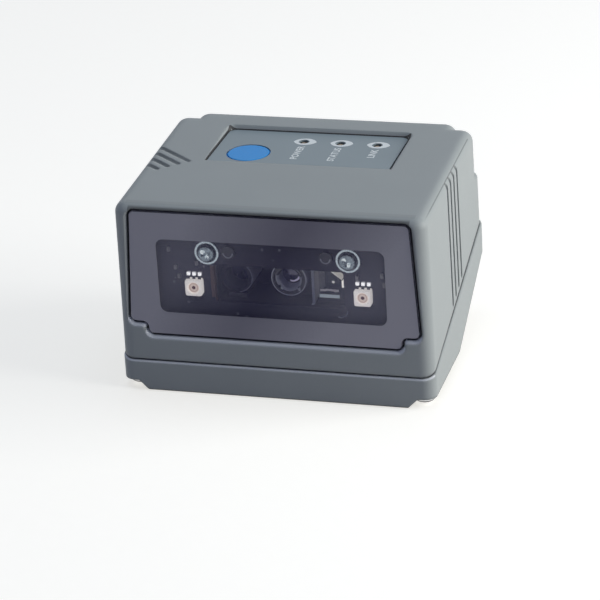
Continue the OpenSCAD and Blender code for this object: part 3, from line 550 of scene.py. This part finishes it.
for side, node in ((-1, "illumination_led_left"), (1, "illumination_led_right")):
    middle = (side * LED_X, LED_Z)
    outlines = [
        soft_square(middle, PACKAGE_HALF, BOARD_Y), soft_square(middle, PACKAGE_HALF, LED_FACE_Y + 0.12),
        soft_square(middle, PACKAGE_HALF - 0.1, LED_FACE_Y), cup_circle(middle, CUP_RADIUS, LED_FACE_Y),
        cup_circle(middle, CUP_FLOOR_RADIUS, SILICONE_Y - 0.01)]
    cast = loft(f"cast_{node}", [outlines], caps=(0,))
    package = new_piece(f"cast_{node}", cast, white_package, "housing")
    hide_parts(node)
    legs = loft(f"legs_{node}", [
        leg(side * LED_X + i * LEG_PITCH, JOINT_TOP - 0.55) for i in (-1, 0, 1)], caps=(0, 1))
    new_piece(f"legs_{node}", legs, tinned, "housing")
print("LED packages: 2, each with 3 legs")

# %% [markdown]
# ## Screws and washers
# The bright rings in the window are turned washers under zinc-plated screws. Turning leaves fine circular marks,
# so the bump is a sine of the distance from the screw's middle: a formula says that better than any noise. The same
# distance keeps the plating bright on the washer and dark in the shadow under the head. Two spots on each head,
# where the flanks of the driver recess catch the light, are painted highlights.
# The pan heads under the base are bright round their sides, with a rim painted dark at the bottom as painted shade.

# %% Zinc
SCREW_X, SCREW_Z = 14.35, 28.2
HEAD_EDGE, WASHER_EDGE = 1.6, 2.06
RING_PHASE = 38
UPPER_GLINT, LOWER_GLINT = (-0.55, 0.5), (0.3, -0.5)
turned_zinc, shader, place = finish("turned_zinc", {"Metallic": 1.0})
x, _, z = axes(place)
from_screw = away(abs(x), z, (SCREW_X, SCREW_Z))
rings = wave(from_screw * RING_PHASE)
film = noise(place, 1.2, 2)
washer = from_screw > WASHER_EDGE
under_head = between(from_screw, HEAD_EDGE, WASHER_EDGE)
rightward = (abs(x) - SCREW_X) * ((x > 0) * 2 - 1)
upward = z - SCREW_Z
# Painted highlight: two glints on each head.
glint = either(away(rightward, upward, UPPER_GLINT) < 0.447, away(rightward, upward, LOWER_GLINT) < 0.4)
head_tone = blend(film, (0.1, 0.13, 0.16), (0.34, 0.4, 0.44))
washer_tone = blend(film, (0.42, 0.5, 0.55), (0.62, 0.7, 0.75))
metal_tone = blend(washer, blend(under_head, head_tone, (0.04, 0.05, 0.06)), washer_tone)
feed(shader,
     Base_Color=blend(glint, metal_tone, (0.88, 0.95, 0.98)),
     Roughness=0.2 + film * 0.16,
     Normal=relief(rings, 0.008, 0.5))
dress(turned_zinc, "engine_screws", "engine_washers")

RIM_TOP = 1.2
plated_steel, shader, place = finish("plated_steel", {"Metallic": 1.0})
film = noise(place, 1.4, 3)
faces_down = facing(place)[2] < -0.9
# Painted shade: a dark rim low on the heads.
shaded_rim = (axes(place)[2] < RIM_TOP) * (1 - faces_down)
feed(shader,
     Base_Color=blend(shaded_rim, blend(film, (0.82, 0.83, 0.84), (0.95, 0.95, 0.95)), (0.14, 0.14, 0.15)),
     Roughness=0.22 + film * 0.2,
     Normal=relief(film, 0.01, 0.3))
dress(plated_steel, "case_screws", "main_board_screws", "indicator_board_screws")

# %% [markdown]
# ## Optics
# The camera's barrel is black anodised. A bright rim, a bright lower lip and two bright dots low in its face, at the
# notches that take the spanner that focuses it, are painted highlights. The aimer's barrel is blackened against stray
# light and shows only a faint painted highlight on one side of its rim. The lenses carry a violet coating, which a
# coat layer over dark glass gives, and the camera's lens has a bright arc near its edge: a painted highlight that
# also glows. The prism that splits the aiming beam is clear, with a slope, a sliver, a spot, a stub and a shelf
# painted as highlights that glow and hide the glass. The chassis is black; a lower crescent on each locating pin and
# a line on the post beside the prism are painted highlights.

# %% Black parts, lenses and prism
BLACK_TONES = (0.014, 0.014, 0.018), (0.036, 0.035, 0.042)
black_moulding, shader, place = finish("black_moulding", {"IOR": 1.5})
grit = noise(place, 2.8, 3)
feed(shader,
     Base_Color=blend(grit, *BLACK_TONES),
     Roughness=0.36 + grit * 0.2,
     Normal=relief(grit, 0.02, 0.4))
dress(black_moulding, "switch_plunger", "tact_switch", "beeper")

PIN_X, PIN_Z, PIN_RADIUS, POST_X = 9.9, 28.5, 0.95, 6.25
highlighted_moulding, shader, place = finish("highlighted_moulding", {"IOR": 1.5})
grit = noise(place, 2.8, 3)
x, _, z = axes(place)
# Painted highlights: a lower crescent on each pin and a line on the post.
pin_highlight = near(away(abs(x), z, (PIN_X, PIN_Z)), PIN_RADIUS, 0.14) * (z < PIN_Z)
post_highlight = near(x, POST_X, 0.27)
highlighted_pin = blend(pin_highlight, blend(grit, *BLACK_TONES), (0.34, 0.34, 0.38))
feed(shader,
     Base_Color=blend(post_highlight, highlighted_pin, (0.62, 0.62, 0.68)),
     Roughness=0.36 + grit * 0.2,
     Normal=relief(grit, 0.02, 0.4))
dress(highlighted_moulding, "engine_chassis")

LENS, AIMER = (1.5, 22.6), (-9.5, 21.9)
RIM_RADIUS, LIP_RADIUS, GLINT_RADIUS, AIMER_RIM_RADIUS = 3.38, 2.62, 1.55, 3.1
NOTCH_MIDDLE, NOTCH_APART, NOTCH_DOWN = LENS[0] + 0.2, 1.75, 2.2


def from_axis(place, axis):
    """Distance from an optical axis, which runs from front to back."""
    x, _, z = axes(place)
    return away(x, z, axis)


anodised, shader, place = finish("anodised", {"IOR": 1.6, "Specular IOR Level": 0.6})
turning = noise(place, 3.5, 2)
x, _, z = axes(place)
radius = from_axis(place, LENS)
# Painted highlights: a rim, a lower lip and two dots on the barrel.
notch_highlight = away(abs(x - NOTCH_MIDDLE), z, (NOTCH_APART, LENS[1] - NOTCH_DOWN)) < 0.3
rim_highlight = radius > RIM_RADIUS
barrel_lip_highlight = (radius < LIP_RADIUS) * (z < LENS[1] + 0.6)
dark_face = blend(turning, (0.024, 0.023, 0.03), (0.06, 0.058, 0.072))
feed(shader,
     Base_Color=blend(notch_highlight, blend(barrel_lip_highlight, blend(rim_highlight, dark_face, (0.7, 0.7, 0.74)), (0.5, 0.5, 0.56)),
                      (0.95, 0.95, 0.98)),
     Roughness=0.26 + turning * 0.14,
     Normal=relief(turning, 0.01, 0.3))
dress(anodised, "lens_barrel")

blackened, shader, place = finish("blackened", {"IOR": 1.5, "Specular IOR Level": 0.16})
soot = noise(place, 3.5, 2)
# Painted highlight on one side of the aimer's rim.
faint_rim_highlight = (from_axis(place, AIMER) > AIMER_RIM_RADIUS) * (axes(place)[0] > AIMER[0] + 0.5)
feed(shader,
     Base_Color=blend(faint_rim_highlight, blend(soot, (0.05, 0.047, 0.06), (0.09, 0.085, 0.105)), (0.46, 0.44, 0.5)),
     Roughness=0.5 + soot * 0.2,
     Normal=relief(soot, 0.01, 0.3))
dress(blackened, "aimer_barrel")

coated_glass, shader, place = finish("coated_glass", {
    "IOR": 1.7, "Coat Weight": 1.0, "Coat Tint": (0.75, 0.7, 1.0, 1), "Coat Roughness": 0.02,
    "Emission Strength": 0.3})
bloom = noise(place, 0.4, 2)
x, _, z = axes(place)
# Painted highlight: a bright arc near the lens edge, which also glows.
edge_glint = near(from_axis(place, LENS), GLINT_RADIUS, 0.2) * (x > LENS[0] - 0.5) * (z < LENS[1] + 0.9)
feed(shader,
     Base_Color=blend(edge_glint, blend(bloom, (0.016, 0.02, 0.05), (0.04, 0.036, 0.09)), (0.9, 0.9, 0.98)),
     Emission_Color=blend(edge_glint, (0.0, 0.0, 0.0), (1.0, 1.0, 0.78)),
     Roughness=0.03 + bloom * 0.04)
dress(coated_glass, "front_lens", "aimer_lens")

SLOPE_START, SLOPE_FALL = (9.7, 24.3), 0.76
STUB, SHELF, SLIVER, SPARK = (9.35, 18.95), (9.4, 20.2), (11.95, 21.7), (10.25, 22.06)
PRISM_FRONT = -14
clear_prism, shader, place = finish("clear_prism", {"IOR": 1.52, "Emission Strength": 0.32})
frost = noise(place, 1.1, 2)
x, y, z = axes(place)
# Painted highlights on the prism, which glow and are opaque.
slope_highlight = (x > SLOPE_START[0]) * (z > SLOPE_START[1] - (x - SLOPE_START[0]) * SLOPE_FALL)
front = y < PRISM_FRONT
stub_highlight = near(x, STUB[0], 2.05) * near(z, STUB[1], 0.36) * front
shelf_highlight = near(x, SHELF[0], 1.9) * near(z - (frost - 0.5) * 0.6, SHELF[1], 0.2) * front
sliver_highlight = (x > SLIVER[0]) * near(z, SLIVER[1], 0.75)
spot_highlight = (away(x, z, SPARK) < 0.283) * front
bright_highlights = either(slope_highlight, sliver_highlight, spot_highlight)
opaque_highlights = either(bright_highlights, stub_highlight, shelf_highlight)
glass_tone = blend(frost, (0.3, 0.33, 0.38), (0.5, 0.54, 0.6))
highlight_tone = blend(stub_highlight, blend(shelf_highlight, glass_tone, (0.86, 0.8, 0.78)), (0.6, 0.68, 0.72))
highlight_glow = blend(stub_highlight, blend(shelf_highlight, (0.0, 0.0, 0.0), (0.3, 0.28, 0.28)), (0.56, 0.64, 0.67))
# Painted highlights and their painted glow.
feed(shader,
     Base_Color=blend(bright_highlights, highlight_tone, (0.9, 0.88, 0.82)),
     Emission_Color=blend(sliver_highlight, blend(bright_highlights, highlight_glow, (1.0, 0.96, 0.88)), (2.3, 2.2, 2.0)),
     Alpha=0.22 + opaque_highlights * 0.78,
     Roughness=0.08 + frost * 0.2)
dress(clear_prism, "aiming_prism")

# %% [markdown]
# ## What the housing hides
# The main board, its chips, the beeper, the ribbon and the sockets can't be seen from outside, yet a library part is
# opened now and then, so they get honest finishes too: green solder mask with tracks, matt chip bodies, amber film.

# %% Hidden boards and parts
green_mask, shader, place = finish("green_mask", {"IOR": 1.5})
copper = copper_lines(place, 0.41, 0.08, 4.2, 0.7)
feed(shader,
     Base_Color=blend(copper, (0.012, 0.075, 0.035), (0.03, 0.16, 0.075)),
     Roughness=0.28 + copper * 0.1,
     Normal=relief(copper, 0.03, 0.4))
dress(green_mask, "indicator_board", "sensor_board", "main_board")

chip_epoxy, shader, place = finish("chip_epoxy", {"IOR": 1.55})
dust = noise(place, 3.0, 3)
feed(shader,
     Base_Color=blend(dust, (0.016, 0.016, 0.018), (0.045, 0.045, 0.048)),
     Roughness=0.5 + dust * 0.2,
     Normal=relief(dust, 0.015, 0.4))
dress(chip_epoxy, "board_chips", "image_sensor")

ivory_nylon, shader, place = finish("ivory_nylon", {"IOR": 1.53})
milk = noise(place, 0.8, 2)
feed(shader, Base_Color=blend(milk, (0.6, 0.55, 0.45), (0.74, 0.7, 0.6)), Roughness=0.4 + milk * 0.15)
dress(ivory_nylon, "flex_socket", "cable_header")

amber_film, shader, place = finish("amber_film", {"IOR": 1.6})
lines = wave(axes(place)[0] * 8)
feed(shader, Base_Color=blend(lines, (0.4, 0.18, 0.04), (0.58, 0.3, 0.09)), Roughness=0.22 + lines * 0.1)
dress(amber_film, "sensor_flex")

soft_rubber, shader, place = finish("soft_rubber", {"Specular IOR Level": 0.3})
bloom = noise(place, 1.5, 3)
feed(shader,
     Base_Color=blend(bloom, (0.012, 0.012, 0.013), (0.032, 0.032, 0.034)),
     Roughness=0.6 + bloom * 0.2,
     Normal=relief(bloom, 0.03, 0.4))
dress(soft_rubber, "cable_gland")

turned_brass, shader, place = finish("turned_brass", {"Metallic": 1.0})
tarnish = noise(place, 1.8, 3)
feed(shader,
     Base_Color=blend(tarnish, (0.5, 0.34, 0.12), (0.78, 0.58, 0.27)),
     Roughness=0.24 + tarnish * 0.22)
dress(turned_brass, "mounting_inserts")

# %% [markdown]
# ## Prints on the panel
# Round each indicator is printed a pale outline with two pointed ends, like an eye, and in front of it stands a word.
# The words here are plain ones for any reader. A print has almost no thickness, so each is flat and lies a hundredth
# of a millimetre above the film, where it can't flicker against it.

# %% Eye outlines
EYE_WIDE, EYE_HIGH, EYE_SHIFT, HOLE_RADIUS = 4.8, 3.5, 0.25, 1.1
print_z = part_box("status_overlay")[1].z / MM + 0.012


def eye(middle, width, height, steps=20):
    """A pointed oval: two circle arcs that meet at the tips."""
    radius = (width * width / 4 + height * height / 4) / height
    half = math.asin(width / 2 / radius)
    arc = [half * (1 - 2 * i / steps) for i in range(steps)]
    top = [(radius * math.sin(-a), radius * math.cos(a) - radius + height / 2) for a in arc]
    return [(middle[0] + px, middle[1] + py, print_z) for px, py in top + [(-px, -py) for px, py in top]]


def ring(middle, radius, steps=20):
    """A circle with as many points as an eye, that starts at the same tip."""
    turns = [math.pi * (1 + i / steps) for i in range(2 * steps)]
    return [(middle[0] + radius * math.cos(a), middle[1] - radius * math.sin(a), print_z) for a in turns]


white_ink, shader, place = finish("white_ink", {"IOR": 1.5})
screen = noise(place, 4.0, 2)
feed(shader, Base_Color=blend(screen, (0.74, 0.77, 0.78), (0.88, 0.9, 0.9)), Roughness=0.5 + screen * 0.15)
for i, middle in enumerate(INDICATORS):
    mesh = loft(f"indicator_eye_{i}", [[
        eye((middle[0] + EYE_SHIFT, middle[1]), EYE_WIDE, EYE_HIGH), ring(middle, HOLE_RADIUS)]])
    new_piece(f"indicator_eye_{i}", mesh, white_ink, "housing")
print("eye outlines:", len(INDICATORS))

# %% Words in front of the indicators
WORD_HIGH, WORD_BOLD, WORD_GAP, WORD_SHIFT = 2.0, 0.05, 2.6, 0.3
for i, word in enumerate(("POWER", "STATUS", "LINK")):
    text = bpy.data.curves.new(f"indicator_word_{i}", "FONT")
    text.body = word
    text.size = WORD_HIGH * MM
    text.offset = WORD_BOLD * MM
    text.align_x, text.align_y = "RIGHT", "CENTER"
    text.materials.append(white_ink)
    piece = bpy.data.objects.new(f"indicator_word_{i}", text)
    scene.collection.objects.link(piece)
    piece.location = ((INDICATORS[i][0] + WORD_SHIFT) * MM, (INDICATORS[i][1] - WORD_GAP) * MM, print_z * MM)
    piece.rotation_euler = (0, 0, math.radians(90))
    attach(piece, "housing")
print("words on the panel: 3")

# %% [markdown]
# ## Studio
# A white sweep under the reader, one large soft box at the right and a weaker, cooler one overhead: that is how the
# side comes out pale, the top middle grey and the front, which has only the light from the floor, dark.
# The floor is pale paper that really takes the light, so the reader's shadow stays on it. Where the camera sees it,
# also in a mirror or through glass, it glows a little, which lifts it to white without more light on the object.
# The world is white in the same way where it is seen, and gives the object only a dim, bluish light.

# %% Floor
def seen_ray(signal):
    """1 for the rays by which the camera, a mirror or a glass sees a surface."""
    path = signal.node("ShaderNodeLightPath", {}, {}, "Is Camera Ray")
    return either(path, path.output("Is Glossy Ray"), path.output("Is Transmission Ray"))


FLOOR_HALF = 3.0
PAPER_GLOW, AMBIENT = 0.64, 0.22
paper_mesh = bpy.data.meshes.new("floor")
corners = [(x * FLOOR_HALF, y * FLOOR_HALF, 0) for x, y in ((-1, -1), (1, -1), (1, 1), (-1, 1))]
paper_mesh.from_pydata(corners, [], [(0, 1, 2, 3)])
floor = bpy.data.objects.new("floor", paper_mesh)
scene.collection.objects.link(floor)

white_paper, shader, place = finish("white_paper", {"Roughness": 0.9, "Specular IOR Level": 0.0})
fibre = noise(place, 0.4, 3)
feed(shader, Base_Color=blend(fibre, (0.58, 0.57, 0.57), (0.62, 0.61, 0.61)))
tree = white_paper.node_tree
seen = seen_ray(Signal(tree))
glow = seen.node("ShaderNodeEmission", {}, {"Color": (1.0, 0.985, 0.93, 1), "Strength": seen * PAPER_GLOW})
lit = glow.node("ShaderNodeAddShader", {}, {0: Signal(tree, shader.outputs[0]), 1: glow})
tree.links.new(lit.socket, tree.nodes["Material Output"].inputs["Surface"])
paper_mesh.materials.append(white_paper)
print("floor glow for camera and mirrors")

# %% World and lamps
world = bpy.data.worlds.new("studio")
scene.world = world
world.use_nodes = True
seen = seen_ray(Signal(world.node_tree))
ambient = world.node_tree.nodes["Background"]
world.node_tree.links.new(blend(seen, (0.58, 0.66, 1.0), (1.0, 1.0, 1.0)).socket, ambient.inputs["Color"])
world.node_tree.links.new((AMBIENT + seen * (1 - AMBIENT)).socket, ambient.inputs["Strength"])

LAMP_AIM = Vector((0, 0, 20)) * MM


def soft_box(name, place_mm, size_mm, watts, colour):
    lamp = bpy.data.lights.new(name, "AREA")
    lamp.shape, lamp.size, lamp.size_y = "RECTANGLE", size_mm[0] * MM, size_mm[1] * MM
    lamp.energy, lamp.color = watts, colour
    box = bpy.data.objects.new(name, lamp)
    scene.collection.objects.link(box)
    box.location = Vector(place_mm) * MM
    box.rotation_euler = (LAMP_AIM - box.location).to_track_quat("-Z", "Y").to_euler()


soft_box("key_right", (480, 40, 200), (400, 320), 2.65, (1.0, 1.0, 0.93))
soft_box("overhead", (-40, 60, 780), (620, 520), 1.12, (0.82, 0.98, 1.0))
print("lamps: 2")
